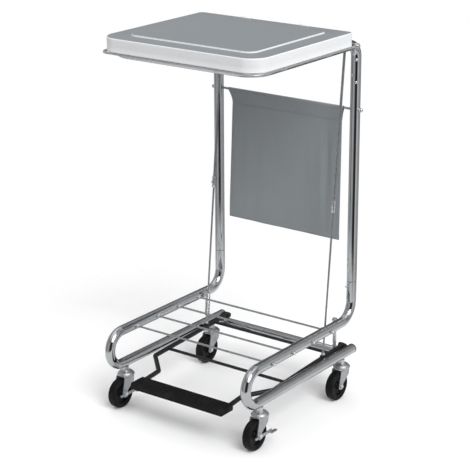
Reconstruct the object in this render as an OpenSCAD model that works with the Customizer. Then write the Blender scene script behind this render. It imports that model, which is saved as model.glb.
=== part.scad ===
// Linen trolley: a chrome tube hamper stand on four casters, with a moulded lid that a foot pedal lifts.
// Millimetres, +Z up. The origin lies on the floor, midway between the side frames and under the uprights.
// The pedal side is the front and faces -Y.

/* [Tube frame] */
// Outer diameter of the frame tube
tube_d = 25.4; // [25.4:0.1:25.8]
// Wall thickness of the frame tube
tube_wall = 1.3; // [1.2:0.1:1.5]
// Distance between the centre lines of the two side frames
frame_w = 418; // [417:0.5:420]
// Height of the centre line of the bottom rails
rail_z = 115.5; // [115.3:0.1:115.8]
// Height of the centre line of the shelf rails
shelf_z = 203.5; // [203:0.5:204]
// Foremost point of the centre line of the front bends
front_y = -456; // [-462:1:-454]
// Rear end of the bottom rails
rail_rear_y = 8; // [8:0.5:12]
// Bend radius between the shelf rails and the uprights
rear_bend_r = 48; // [46:1:50]
// Height at which the uprights plug into the side frames
joint_z = 304; // [300:1:310]
// Height of the centre line of the top hoop
hoop_z = 914; // [913.8:0.1:914.2]
// Bend radius at the top of the uprights
hoop_bend_r = 32; // [31.5:0.5:32.5]
// Front of the top hoop
hoop_front_y = -416; // [-418:1:-410]
// Corner radius of the top hoop in plan
hoop_corner_r = 50; // [44:1:56]

/* [Shelf and panel] */
// Diameter of the shelf wires
wire_d = 5; // [4:0.5:5]
// Place of the front shelf wire
wire_front_y = -364; // [-368:1:-360]
// Spacing of the shelf wires
wire_pitch = 84.5; // [83:0.5:85]
// Height of the rod that carries the fabric panel
panel_rod_z = 750; // [740:1:760]
// Width of the fabric panel
panel_w = 352; // [340:1:360]
// Drop of the fabric panel below its rod
panel_drop = 345; // [320:1:360]

/* [Lid] */
// Outer width of the lid
lid_w = 460; // [459:0.5:462]
// Front edge of the lid
lid_front_y = -440; // [-441:0.5:-440]
// Rear edge of the lid
lid_rear_y = -44; // [-46:0.5:-43]
// Height of the lid's lower edge
lid_low_z = 917; // [917:0.1:917.5]
// Height of the lid's skirt and top
lid_h = 34; // [33:0.5:36]
// Corner radius of the lid in plan
lid_corner_r = 48; // [44:1:52]
// Radius of the two corners of the lid beside its hinge
lid_rear_r = 14; // [12:1:16]
// Rounding of the lid's upper edge
lid_edge_r = 4; // [3.5:0.5:5]
// Wall thickness of the lid
lid_wall = 3; // [2.5:0.1:3]
// Diameter of the wire frame under the lid
lid_wire_d = 6; // [5.5:0.5:6]
// Place of the lid's hinge shaft
hinge_y = -28; // [-28.2:0.1:-27.8]

/* [Pedal and rods] */
// Diameter of the pedal arms
arm_d = 12; // [11:0.5:12.5]
// Distance of the pedal arms from the middle
arm_x = 185; // [184.5:0.5:185.5]
// Place of the pedal's pivot
pedal_y = -2; // [-2.2:0.1:-1.8]
// Height of the pedal's pivot
pedal_z = 122; // [121.8:0.1:122.2]
// Length of the tread pad
pad_l = 280; // [270:1:284]
// Depth of the tread pad
pad_deep = 50; // [48:1:52]
// Diameter of the upper pull rods
rod_up_d = 6.5; // [6:0.1:6.6]
// Diameter of the lower pull rods
rod_low_d = 5; // [4.5:0.1:5]

/* [Casters] */
// Wheel diameter
wheel_d = 76; // [75:0.5:77]
// Tread width of the wheel
wheel_w = 22; // [20:0.5:22]
// Trail of the wheel behind its stem
trail = 23; // [22:0.5:24]
// Place of the front caster stems
caster_front_y = -398; // [-400:1:-394]
// Place of the rear caster stems
caster_rear_y = -40; // [-41:0.5:-39.5]

/* [Hidden] */
$fn = 48;
side_x = frame_w / 2;
tube_r = tube_d / 2;
bore_r = tube_r - tube_wall;
front_bend_r = (shelf_z - rail_z) / 2;
front_bend_y = front_y + front_bend_r;
swage_r = bore_r - 0.1;
swage_bore_r = swage_r - 1.2;
button_z = 289;
rod_top_y = hinge_y + 14;
rod_top_z = hoop_z + 2.5;
arm_drop = 15 / 308;
rod_low_y = pedal_y - 91;
rod_low_z = arm_z(rod_low_y);
rod_tilt = atan2(rod_top_y - rod_low_y, rod_top_z - rod_low_z);
rod_len = norm([rod_top_y - rod_low_y, rod_top_z - rod_low_z]);
rod_x = 186;
jog_rear = [arm_x, -310, arm_z(-310)];
jog_front = [131, -362, 96];
pad_y = -437;
pad_top = 98;
pad_h = 18;
bar_z = pad_top - pad_h / 2;
lid_wire_x = lid_w / 2 - 2.5;
lid_wire_y = lid_front_y + 3;
lid_wire_z = lid_low_z - lid_wire_d / 2;
axle_z = wheel_d / 2;
damper_y = -38;
damper_pin_z = 204;

// Height of the pedal arm's centre line at a given depth.
function arm_z(y) = pedal_z - arm_drop * (pedal_y - y);

// ---------- shared shapes ----------

// A bar along X from x0 to x1.
module bar_x(x0, x1, r) {
  translate([x0, 0, 0]) rotate([0, 90, 0]) cylinder(r = r, h = x1 - x0);
}

// A round bar between two points.
module bar_between(a, b, r) {
  d = b - a;
  translate(a)
    rotate([0, acos(d[2] / norm(d)), atan2(d[1], d[0])])
      cylinder(r = r, h = norm(d));
}

// The cross-section of a tube.
module ring(r_out, r_in) {
  difference() {
    circle(r = r_out);
    circle(r = r_in);
  }
}

// A straight tube along +Z.
module tube(h, r_out = tube_r, r_in = bore_r) {
  linear_extrude(h) ring(r_out, r_in);
}

// A quarter or half bend about Z, starting on +X.
module tube_bend(bend_r, angle, r_out = tube_r, r_in = bore_r) {
  rotate_extrude(angle = angle) translate([bend_r, 0]) ring(r_out, r_in);
}

// A rectangle with round corners, centred. The two at the rear can have a radius of their own.
module round_rect(w, d, front, rear = 0) {
  back = rear > 0 ? rear : front;
  translate([0, (front - back) / 2]) square([w, d - front - back], center = true);
  translate([0, -d / 4]) square([w - 2 * front, d / 2], center = true);
  translate([0, d / 4]) square([w - 2 * back, d / 2], center = true);
  for (s = [-1, 1]) {
    translate([s * (w / 2 - front), front - d / 2]) circle(r = front);
    translate([s * (w / 2 - back), d / 2 - back]) circle(r = back);
  }
}

// The section of a block's bevelled upper edge, going in by a distance.
function bevel_side(depth, edge) = [[0, 0], [depth, 0], [depth - edge, edge], [0, edge]];

// A block with round corners in plan and a bevelled upper edge.
module soft_block(w, d, h, front, rear, edge) {
  linear_extrude(h - edge) round_rect(w, d, front, rear);
  translate([0, 0, h - edge]) {
    translate([0, (front - rear) / 2, 0])
      linear_extrude(edge) square([w - 2 * front, d - front - rear], center = true);
    for (s = [0, 1]) mirror([s, 0, 0]) {
      translate([w / 2 - front, front - d / 2, 0]) cylinder(r1 = front, r2 = front - edge, h = edge);
      translate([w / 2 - rear, d / 2 - rear, 0]) cylinder(r1 = rear, r2 = rear - edge, h = edge);
      translate([w / 2 - front, d / 2 - rear, 0])
        rotate([90, 0, 0]) linear_extrude(d - front - rear) polygon(bevel_side(front, edge));
    }
    translate([rear - w / 2, d / 2 - rear, 0])
      rotate([90, 0, 90]) linear_extrude(w - 2 * rear) polygon(bevel_side(rear, edge));
    translate([w / 2 - front, front - d / 2, 0])
      rotate([90, 0, -90]) linear_extrude(w - 2 * front) polygon(bevel_side(front, edge));
  }
}

// A hexagonal nut along +Z.
module hex_nut(flats, h) {
  cylinder(r = flats / sqrt(3), h = h, $fn = 6);
}

// A domed cap nut along +Z, with its blind hole.
module cap_nut(flats, h, hole_r) {
  difference() {
    union() {
      hex_nut(flats, h * 0.55);
      cylinder(r = flats / 2 - 0.3, h = h * 0.7);
      translate([0, 0, h * 0.7]) sphere(r = flats / 2 - 0.3);
    }
    translate([0, 0, -1]) cylinder(r = hole_r, h = h * 0.7 + 1);
  }
}

// ---------- frame ----------

// The hole through a tube wall for a snap button: s is -1 on the left and 1 on the right.
module button_way(s, r) {
  translate([s * side_x, 0, button_z]) rotate([0, 0, s > 0 ? 225 : 315]) bar_x(5, 20, r);
}

// One bent tube: socket, rear bend, shelf rail, front bend and bottom rail.
module lower_frame(s) {
  color("silver")
  difference() {
    union() {
      translate([s * side_x, 0, shelf_z + rear_bend_r]) tube(joint_z - shelf_z - rear_bend_r);
      translate([s * side_x, -rear_bend_r, shelf_z + rear_bend_r])
        rotate([90, 0, 90]) rotate([0, 0, -90]) tube_bend(rear_bend_r, 90);
      translate([s * side_x, -rear_bend_r, shelf_z])
        rotate([90, 0, 0]) tube(-rear_bend_r - front_bend_y);
      translate([s * side_x, front_bend_y, (shelf_z + rail_z) / 2])
        rotate([90, 0, 90]) rotate([0, 0, 90]) tube_bend(front_bend_r, 180);
      translate([s * side_x, rail_rear_y, rail_z])
        rotate([90, 0, 0]) tube(rail_rear_y - front_bend_y);
    }
    button_way(s, 3.3);
    for (i = [0 : 3])
      translate([s * side_x, wire_front_y + i * wire_pitch, shelf_z]) bar_x(-15, 15, wire_d / 2 + 0.2);
    for (y = [caster_front_y, caster_rear_y])
      translate([s * side_x, y, rail_z - 20]) cylinder(r = 5.2, h = 20);
    translate([s * side_x, pedal_y, pedal_z]) bar_x(s > 0 ? -15 : 0, s > 0 ? 0 : 15, 4.1);
    if (s > 0) translate([side_x, damper_y, damper_pin_z]) bar_x(-15, 0, 3.1);
  }
}

// Both uprights and the top hoop, one bent tube with swaged lower ends.
module upper_frame() {
  color("silver")
  difference() {
    union() {
      for (s = [-1, 1]) {
        translate([s * side_x, 0, joint_z]) tube(hoop_z - hoop_bend_r - joint_z);
        translate([s * side_x, 0, joint_z - 34]) tube(34.5, swage_r, swage_bore_r);
        translate([s * side_x, 0, joint_z]) tube(3, tube_r, swage_bore_r);
        translate([s * side_x, -hoop_bend_r, hoop_z - hoop_bend_r])
          rotate([90, 0, 90]) tube_bend(hoop_bend_r, 90);
        translate([s * side_x, -hoop_bend_r, hoop_z])
          rotate([90, 0, 0]) tube(-hoop_bend_r - hoop_front_y - hoop_corner_r);
      }
      translate([side_x - hoop_corner_r, hoop_front_y + hoop_corner_r, hoop_z])
        rotate([0, 0, -90]) tube_bend(hoop_corner_r, 90);
      translate([-side_x + hoop_corner_r, hoop_front_y + hoop_corner_r, hoop_z])
        rotate([0, 0, 180]) tube_bend(hoop_corner_r, 90);
      translate([-side_x + hoop_corner_r, hoop_front_y, hoop_z])
        rotate([0, 90, 0]) tube(frame_w - 2 * hoop_corner_r);
    }
    for (s = [-1, 1]) {
      button_way(s, 3.3);
      translate([s * side_x, 0, panel_rod_z]) bar_x(-15, 15, 3.2);
      translate([s * side_x, hinge_y, hoop_z]) bar_x(-15, 15, 4.2);
    }
    rivet_places() cylinder(r = 2.1, h = 20, center = true);
  }
}

// Where the small rivets sit on the uprights, with the rivet's axis on local +Z.
module rivet_places() {
  for (s = [-1, 1]) {
    for (z = [820, 876])
      translate([s * side_x, 0, z]) rotate([90, 0, s * 37]) translate([0, 0, tube_r]) children();
    translate([s * side_x, 0, 838]) rotate([90, 0, -s * 8]) translate([0, 0, tube_r]) children();
  }
}

module upright_rivets() {
  color("gainsboro")
  rivet_places() {
    translate([0, 0, -3]) cylinder(r = 2, h = 3.6);
    translate([0, 0, 0.2]) intersection() {
      cylinder(r = 3.6, h = 3);
      translate([0, 0, -3.2]) sphere(r = 4.9);
    }
  }
}

// A push button with its leaf, which locks an upright into its side frame.
module snap_button(s) {
  color("gainsboro")
  translate([s * side_x, 0, button_z]) rotate([0, 0, s > 0 ? 225 : 315]) {
    bar_x(5.5, 13.4, 3);
    translate([13.4, 0, 0]) intersection() {
      sphere(r = 3);
      bar_x(0, 4, 3);
    }
    translate([4.7, -3, -24]) cube([0.9, 6, 30]);
  }
}

// The cross tube under the pedal arms, coped onto both bottom rails.
module rear_cross_tube() {
  color("silver")
  difference() {
    translate([-side_x + 10, -4, 103]) rotate([0, 90, 0]) tube(frame_w - 20, 11, 9.8);
    for (s = [-1, 1])
      translate([s * side_x, 50, rail_z]) rotate([90, 0, 0]) cylinder(r = tube_r + 0.02, h = 100);
  }
}

module rail_end_plugs() {
  color("dimgray")
  for (s = [-1, 1]) translate([s * side_x, rail_rear_y, rail_z]) rotate([-90, 0, 0]) {
    translate([0, 0, 0.02]) cylinder(r = tube_r, h = 2);
    translate([0, 0, 2]) cylinder(r1 = tube_r, r2 = tube_r - 2.5, h = 2);
    translate([0, 0, -5]) cylinder(r = bore_r - 0.05, h = 6);
  }
}

module caster_stems() {
  color("gainsboro")
  for (s = [-1, 1], y = [caster_front_y, caster_rear_y]) translate([s * side_x, y, 0]) {
    translate([0, 0, 80]) cylinder(r = 5, h = 32);
    translate([0, 0, 78]) cylinder(r = 9, h = 2.5);
    translate([0, 0, 90.8]) cylinder(r = 12, h = 1.3);
    translate([0, 0, 92]) hex_nut(15, 9);
    translate([0, 0, 101]) cylinder(r = 8, h = 1.7);
  }
}

// ---------- shelf and panel ----------

module shelf_wire(i) {
  color("silver")
  translate([0, wire_front_y + i * wire_pitch, shelf_z]) bar_x(-side_x - 16.5, side_x + 16.5, wire_d / 2);
}

// Cap nuts outside and flange nuts inside both shelf rails.
module shelf_wire_nuts() {
  color("gainsboro")
  for (i = [0 : 3], s = [-1, 1]) translate([0, wire_front_y + i * wire_pitch, shelf_z]) {
    translate([s * (side_x + tube_r + 0.02), 0, 0]) rotate([0, s * 90, 0]) cap_nut(9, 6.5, wire_d / 2 + 0.03);
    translate([s * (side_x - tube_r - 0.02), 0, 0]) rotate([0, -s * 90, 0]) difference() {
      union() {
        cylinder(r = 6, h = 1.4);
        hex_nut(9, 5);
      }
      translate([0, 0, -1]) cylinder(r = wire_d / 2 + 0.03, h = 8);
    }
  }
}

module panel_rod() {
  color("silver")
  translate([0, 0, panel_rod_z]) bar_x(-side_x - 16.5, side_x + 16.5, 3);
}

module panel_rod_nuts() {
  color("gainsboro")
  for (s = [-1, 1]) translate([s * (side_x + tube_r + 0.02), 0, panel_rod_z])
    rotate([0, s * 90, 0]) cap_nut(10, 6.5, 3.03);
}

// The grey cloth that hangs from its rod and keeps the bag off the uprights.
module fabric_panel() {
  color("gray")
  difference() {
    union() {
      translate([0, 0, panel_rod_z]) bar_x(-panel_w / 2, panel_w / 2, 4.6);
      translate([-panel_w / 2, -1.1, panel_rod_z - panel_drop]) cube([panel_w, 2.2, panel_drop]);
    }
    translate([0, 0, panel_rod_z]) bar_x(-panel_w, panel_w, 3.3);
  }
}

// ---------- lid ----------

module lid_shell() {
  depth = lid_rear_y - lid_front_y;
  panel_d = 298;
  color("whitesmoke")
  difference() {
    translate([0, (lid_rear_y + lid_front_y) / 2, lid_low_z]) {
      difference() {
        union() {
          soft_block(lid_w, depth, lid_h, lid_corner_r, lid_rear_r, lid_edge_r);
          for (s = [-1, 1]) translate([s * 88, depth / 2 - 1, lid_h - 1.6]) bar_x(-15, 15, 4.4);
        }
        translate([0, 0, -1])
          linear_extrude(lid_h - lid_wall + 1)
            round_rect(lid_w - 2 * lid_wall, depth - 2 * lid_wall, lid_corner_r - lid_wall, lid_rear_r - lid_wall);
      }
      translate([0, 0, lid_h - 1]) soft_block(362, panel_d, 4, 26, 10, 2);
    }
    for (s = [-1, 1]) translate([s * side_x, lid_rear_y, lid_low_z])
      cube([2 * tube_r + 5, 60, 2 * 15], center = true);
  }
}

// The chrome wire that carries the lid, bent round three sides.
module lid_wire_frame() {
  r = lid_wire_d / 2;
  corner = 22;
  color("silver") {
    for (s = [-1, 1]) {
      translate([s * lid_wire_x, hinge_y - 7, lid_wire_z]) rotate([90, 0, 0])
        cylinder(r = r, h = hinge_y - 7 - lid_wire_y - corner);
      translate([s * lid_wire_x, hinge_y, hoop_z]) difference() {
        bar_x(-2.5, 2.5, 8);
        bar_x(-5, 5, 4.02);
      }
    }
    translate([lid_wire_x - corner, lid_wire_y + corner, lid_wire_z])
      rotate([0, 0, -90]) rotate_extrude(angle = 90) translate([corner, 0]) circle(r = r);
    translate([-lid_wire_x + corner, lid_wire_y + corner, lid_wire_z])
      rotate([0, 0, 180]) rotate_extrude(angle = 90) translate([corner, 0]) circle(r = r);
    translate([0, lid_wire_y, lid_wire_z]) bar_x(-lid_wire_x + corner, lid_wire_x - corner, r);
  }
}

// One clip that holds the wire to the inside of the lid's skirt, along local X.
module lid_clip() {
  r = lid_wire_d / 2;
  difference() {
    union() {
      bar_x(-10, 10, r + 1.1);
      translate([-10, 0.55, 0]) cube([20, 2.2, 22]);
    }
    bar_x(-12, 12, r + 0.02);
    translate([-12, -6, 2.98]) cube([24, 6.5, 9]);
    translate([-12, -12, -12]) cube([24, 12, 24]);
  }
}

module lid_clips() {
  color("white") {
    for (x = [-110, 110]) translate([x, lid_wire_y, lid_wire_z]) lid_clip();
    for (y = [-330, -150]) {
      translate([lid_wire_x, y, lid_wire_z]) rotate([0, 0, 90]) lid_clip();
      translate([-lid_wire_x, y, lid_wire_z]) rotate([0, 0, -90]) lid_clip();
    }
  }
}

module lid_hinge_shaft() {
  color("silver")
  translate([0, hinge_y, hoop_z]) bar_x(-lid_wire_x - 6, lid_wire_x + 6, 4);
}

// The two short levers on the hinge shaft that the pull rods turn.
module shaft_levers() {
  color("silver")
  for (s = [-1, 1]) translate([s * 179, 0, 0]) difference() {
    union() {
      translate([0, hinge_y, hoop_z]) bar_x(-2.5, 2.5, 7.5);
      translate([0, rod_top_y, rod_top_z]) bar_x(-2.5, 2.5, 6.5);
      translate([0, (hinge_y + rod_top_y) / 2, (hoop_z + rod_top_z) / 2])
        rotate([atan2(rod_top_z - hoop_z, rod_top_y - hinge_y), 0, 0]) cube([4.9, 14, 12], center = true);
    }
    translate([0, hinge_y, hoop_z]) bar_x(-4, 4, 4.02);
    translate([0, rod_top_y, rod_top_z]) bar_x(-4, 4, 2.6);
  }
}

module shaft_push_nuts() {
  color("gainsboro")
  for (s = [-1, 1]) translate([s * (lid_wire_x + 4), hinge_y, hoop_z]) rotate([0, s * 90, 0]) difference() {
    union() {
      translate([0, 0, -1]) cylinder(r = 7, h = 2);
      translate([0, 0, -1]) cylinder(r = 5.5, h = 4);
    }
    translate([0, 0, -3]) cylinder(r = 4.02, h = 5.02);
  }
}

// ---------- pull rods ----------

// Places children on the line of a pull rod: local Z runs up the rod from the pedal arm.
module on_rod(s) {
  translate([s * rod_x, rod_low_y, rod_low_z]) rotate([-rod_tilt, 0, 0]) children();
}

// The upper rod, with its end bent inwards through the lever. It is drawn on the left and mirrored to the right.
module upper_rod(s) {
  color("silver")
  mirror([s > 0 ? 1 : 0, 0, 0]) {
    on_rod(-1) translate([0, 0, 396]) cylinder(r = rod_up_d / 2, h = rod_len - 396);
    translate([-rod_x, rod_top_y, rod_top_z]) {
      sphere(r = rod_up_d / 2);
      bar_x(-0.5, 3.9, 3);
      bar_x(-1, 13, 2.5);
    }
  }
}

// The sleeve with a clamp screw that joins the upper rod to the lower one.
module rod_coupler(s) {
  color("gainsboro")
  on_rod(s) difference() {
    union() {
      translate([0, 0, 380]) cylinder(r = 5.2, h = 30);
      translate([0, -8, 395]) rotate([-90, 0, 0]) cylinder(r = 3, h = 5);
      translate([0, -8.8, 395]) rotate([-90, 0, 0]) cylinder(r = 2.2, h = 3);
    }
    translate([0, 0, 379]) cylinder(r = rod_low_d / 2 + 0.02, h = 18);
    translate([0, 0, 396]) cylinder(r = rod_up_d / 2 + 0.02, h = 18);
  }
}

// The right lower rod runs down through the pedal arm's sleeve.
module lower_rod_right() {
  color("silver")
  on_rod(1) translate([0, 0, -18]) cylinder(r = rod_low_d / 2, h = 18 + 395.9);
}

// The left lower rod ends in an eye that is linked with the spring's eye.
module lower_rod_left() {
  color("silver")
  on_rod(-1) {
    translate([0, 0, 108.5]) cylinder(r = rod_low_d / 2, h = 287.4);
    translate([0, 0, 104]) rotate([0, 90, 0]) rotate_extrude() translate([5.2, 0]) circle(r = 2.2);
  }
}

// A close-wound tension spring between the left rod and its spindle.
module rod_spring() {
  coil_r = 5.2;
  wire_r = 1.3;
  color("gainsboro")
  on_rod(-1) {
    for (i = [0 : 24]) translate([0, 0, 30 + i * 2.5])
      rotate_extrude() translate([coil_r, 0]) circle(r = wire_r);
    translate([0, 0, 91.4]) bar_x(-coil_r, coil_r, wire_r);
    translate([0, 0, 98]) rotate([90, 0, 0]) rotate_extrude() translate([coil_r, 0]) circle(r = wire_r);
  }
}

// The threaded spindle that hangs the spring's lower end on the pedal arm.
module spring_spindle() {
  color("silver")
  on_rod(-1) {
    translate([0, 0, -18]) cylinder(r = rod_low_d / 2, h = 58);
    translate([0, 0, 31]) cylinder(r = 3.85, h = 8);
  }
}

// Nuts above and below the sleeve on the pedal arm, with a little play.
module rod_nuts(s) {
  color("gainsboro")
  on_rod(s) difference() {
    union() {
      translate([0, 0, 9]) cylinder(r = 6, h = 1.2);
      translate([0, 0, 10.2]) hex_nut(9, 4.5);
      translate([0, 0, -10.2]) cylinder(r = 6, h = 1.2);
      translate([0, 0, -14.7]) hex_nut(9, 4.5);
    }
    translate([0, 0, -30]) cylinder(r = rod_low_d / 2 + 0.02, h = 60);
  }
}

// ---------- pedal ----------

// The sleeve on each arm that a pull rod passes through: r is added to its radius.
module rod_way(s, r, h) {
  on_rod(s) cylinder(r = r, h = h, center = true);
}

module pedal_arm(s) {
  r = arm_d / 2;
  rear = [s * arm_x, pedal_y, pedal_z];
  a = [s * jog_rear[0], jog_rear[1], jog_rear[2]];
  b = [s * jog_front[0], jog_front[1], jog_front[2]];
  c = [s * jog_front[0], pad_y, bar_z];
  bar_between(rear, a, r);
  translate(a) sphere(r = r + 0.1);
  bar_between(a, b, r);
  translate(b) sphere(r = r + 0.1);
  bar_between(b, c, r);
  translate(c) sphere(r = r + 0.1);
  translate(rear) bar_x(-6.2, 6.2, 7.5);
  rod_way(s, 8, 12);
}

// Both arms, the two cross rods and the bar inside the pad, welded together and painted black.
module pedal_frame() {
  color("black")
  difference() {
    union() {
      for (s = [-1, 1]) pedal_arm(s);
      translate([0, -60, arm_z(-60)]) bar_x(-arm_x, arm_x, 4);
      translate([0, -258, arm_z(-258)]) bar_x(-arm_x, arm_x, 4);
      translate([0, pad_y, bar_z]) bar_x(-jog_front[0], jog_front[0], arm_d / 2);
      translate([arm_x, damper_y, arm_z(damper_y)]) cylinder(r = 1.8, h = 9.5);
      translate([arm_x, damper_y, arm_z(damper_y) + 10]) sphere(r = 2.8);
    }
    for (s = [-1, 1]) {
      translate([s * arm_x, pedal_y, pedal_z]) bar_x(-8, 8, 4.08);
      rod_way(s, 5, 40);
    }
  }
}

// The ribbed rubber tread that is pushed over the front bar.
module pedal_pad() {
  color("#202020")
  difference() {
    union() {
      translate([0, pad_y, bar_z - pad_h / 2]) linear_extrude(pad_h - 2) round_rect(pad_l, pad_deep, 5);
      for (i = [-3 : 3]) translate([0, pad_y + i * 6.6, pad_top - 2]) bar_x(-pad_l / 2 + 4, pad_l / 2 - 4, 2);
    }
    translate([0, pad_y, bar_z]) bar_x(-jog_front[0], jog_front[0], arm_d / 2 + 0.05);
    for (s = [-1, 1]) {
      a = [s * jog_front[0], jog_front[1], jog_front[2]];
      c = [s * jog_front[0], pad_y, bar_z];
      bar_between(a, c, arm_d / 2 + 0.05);
      translate(c) sphere(r = arm_d / 2 + 0.15);
    }
  }
}

module pedal_pivot_pins() {
  color("gainsboro")
  for (s = [-1, 1]) translate([0, pedal_y, pedal_z]) {
    bar_x(s > 0 ? 175 : -205, s > 0 ? 205 : -175, 4);
    bar_x(s > 0 ? 191.4 : -196.2, s > 0 ? 196.2 : -191.4, 6.5);
  }
}

module pivot_push_nuts() {
  color("gainsboro")
  for (s = [-1, 1]) translate([s * 177.5, pedal_y, pedal_z]) difference() {
    bar_x(-1, 1, 7);
    bar_x(-2, 2, 4.02);
  }
}

// ---------- damper ----------

module damper_cylinder() {
  color("silver")
  translate([arm_x, damper_y, 0]) difference() {
    union() {
      translate([0, 0, 140]) cylinder(r = 4.75, h = 58);
      translate([0, 0, 196]) cylinder(r = 3, h = 4);
      translate([0, 0, damper_pin_z]) bar_x(-4, 4, 6);
    }
    translate([0, 0, damper_pin_z]) bar_x(-6, 6, 3.05);
    translate([0, 0, 139]) cylinder(r = 2.35, h = 10);
    translate([0, 0, 143]) cylinder(r = 3.7, h = 50);
  }
}

// The damper's rod, with its piston above and the socket for the arm's ball below.
module damper_plunger() {
  z = arm_z(damper_y) + 10;
  color("gainsboro")
  translate([arm_x, damper_y, 0]) difference() {
    union() {
      translate([0, 0, z - 2]) cylinder(r = 5.2, h = 8);
      translate([0, 0, z + 5]) cylinder(r = 2.2, h = 42);
      translate([0, 0, z + 45]) cylinder(r = 3.5, h = 6);
    }
    translate([0, 0, z]) sphere(r = 4.3);
    translate([0, 0, z - 4]) cylinder(r = 4.3, h = 4);
  }
}

module damper_stud() {
  color("gainsboro")
  translate([0, damper_y, damper_pin_z]) {
    bar_x(178, 200, 3);
    bar_x(189.3, 196.2, 4.5);
    bar_x(179, 180.7, 5);
  }
}

// ---------- casters ----------

// Places children at a caster's stem: sx is the side and sy is 1 at the front and -1 at the rear.
module at_caster(sx, sy) {
  translate([sx * side_x, sy > 0 ? caster_front_y : caster_rear_y, 0]) children();
}

// The side view of a fork leg: wide under the crown, narrow at the axle.
module leg_outline() {
  polygon([[-20, 84], [15, 84], [11, 62], [-trail + 9, axle_z], [-trail - 9, axle_z]]);
  translate([-trail, axle_z]) circle(r = 9);
}

module caster_fork(sx, sy) {
  gap = wheel_w / 2 + 1.4;
  color("silver")
  at_caster(sx, sy) difference() {
    union() {
      translate([0, 0, 81]) cylinder(r = 22, h = 5.5);
      translate([0, 0, 86.5]) cylinder(r1 = 22, r2 = 17, h = 4);
      for (s = [-1, 1]) translate([s * (gap + 1.25), 0, 0])
        rotate([90, 0, 90]) linear_extrude(2.5, center = true) leg_outline();
      translate([-gap - 2.5, -20, 81]) cube([2 * gap + 5, 35, 3]);
    }
    translate([0, 0, 70]) cylinder(r = 5.15, h = 30);
    translate([0, 0, 77]) cylinder(r = 9.3, h = 4.2);
    translate([0, -trail, axle_z]) bar_x(-30, 30, 3.05);
  }
}

module axle_bolt(sx, sy) {
  x = wheel_w / 2 + 3.92;
  color("gainsboro")
  at_caster(sx, sy) translate([0, -trail, axle_z]) {
    bar_x(-x - 5, x + 5, 3);
    translate([-x, 0, 0]) rotate([0, -90, 0]) hex_nut(10, 3.6);
    translate([x + (sy > 0 ? 2.6 : 0), 0, 0]) rotate([0, 90, 0]) hex_nut(10, 3.6);
  }
}

module wheel_hub(sx, sy) {
  color("#303030")
  at_caster(sx, sy) translate([0, -trail, axle_z]) difference() {
    union() {
      bar_x(-wheel_w / 2, wheel_w / 2, 9);
      bar_x(-3, 3, 27);
      difference() {
        bar_x(-9, 9, 28);
        bar_x(-12, 12, 24.5);
      }
    }
    bar_x(-20, 20, 3.1);
  }
}

module tyre(sx, sy) {
  color("#181818")
  at_caster(sx, sy) translate([0, -trail, axle_z]) rotate([0, 90, 0])
    rotate_extrude() polygon([[28.02, -9], [30, -wheel_w / 2], [axle_z - 4, -wheel_w / 2],
      [axle_z, -wheel_w / 2 + 5], [axle_z, wheel_w / 2 - 5], [axle_z - 4, wheel_w / 2],
      [30, wheel_w / 2], [28.02, 9]]);
}

// The pressed lever beside the wheel, with its foot tab behind and a lip in front.
module brake_lever(sx) {
  x = wheel_w / 2 + 3.95;
  color("silver")
  at_caster(sx, 1) translate([x, -trail, axle_z]) difference() {
    union() {
      bar_x(0, 2.4, 9);
      translate([0, -17, -5]) cube([2.4, 17, 6]);
      translate([0, 0, -5.5]) cube([2.4, 48, 8]);
      translate([0, 38, -5.5]) cube([10, 20, 2.4]);
      translate([5, 58, -5.5]) cylinder(r = 5, h = 2.4);
      translate([-2.2, -17, -5]) cube([4, 2.4, 6]);
    }
    bar_x(-4, 8, 3.1);
  }
}

lower_frame(-1);  // lower_frame_left
lower_frame(1);  // lower_frame_right
upper_frame();
rear_cross_tube();
rail_end_plugs();
snap_button(-1);  // snap_button_left
snap_button(1);  // snap_button_right
upright_rivets();
shelf_wire(0);  // shelf_wire_front
shelf_wire(1);  // shelf_wire_second
shelf_wire(2);  // shelf_wire_third
shelf_wire(3);  // shelf_wire_rear
shelf_wire_nuts();
panel_rod();
panel_rod_nuts();
fabric_panel();
lid_shell();
lid_wire_frame();
lid_clips();
lid_hinge_shaft();
shaft_levers();
shaft_push_nuts();
upper_rod(-1);  // upper_rod_left
upper_rod(1);  // upper_rod_right
rod_coupler(-1);  // rod_coupler_left
rod_coupler(1);  // rod_coupler_right
lower_rod_left();
lower_rod_right();
rod_spring();
spring_spindle();
rod_nuts(-1);  // rod_nuts_left
rod_nuts(1);  // rod_nuts_right
pedal_frame();
pedal_pad();
pedal_pivot_pins();
pivot_push_nuts();
damper_cylinder();
damper_plunger();
damper_stud();
caster_stems();
caster_fork(-1, 1);  // caster_fork_fl
caster_fork(1, 1);  // caster_fork_fr
caster_fork(-1, -1);  // caster_fork_rl
caster_fork(1, -1);  // caster_fork_rr
axle_bolt(-1, 1);  // axle_bolt_fl
axle_bolt(1, 1);  // axle_bolt_fr
axle_bolt(-1, -1);  // axle_bolt_rl
axle_bolt(1, -1);  // axle_bolt_rr
wheel_hub(-1, 1);  // wheel_hub_fl
wheel_hub(1, 1);  // wheel_hub_fr
wheel_hub(-1, -1);  // wheel_hub_rl
wheel_hub(1, -1);  // wheel_hub_rr
tyre(-1, 1);  // tyre_fl
tyre(1, 1);  // tyre_fr
tyre(-1, -1);  // tyre_rl
tyre(1, -1);  // tyre_rr
brake_lever(-1);  // brake_lever_left
brake_lever(1);  // brake_lever_right
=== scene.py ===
"""Looks of the linen trolley: a chrome tube hamper stand with a moulded lid, a foot pedal and a cloth panel.

Metres, +Z up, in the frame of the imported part. The pedal side faces -Y.
"""

import math

import bmesh
import bpy
from mathutils import Euler, Matrix, Vector


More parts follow.
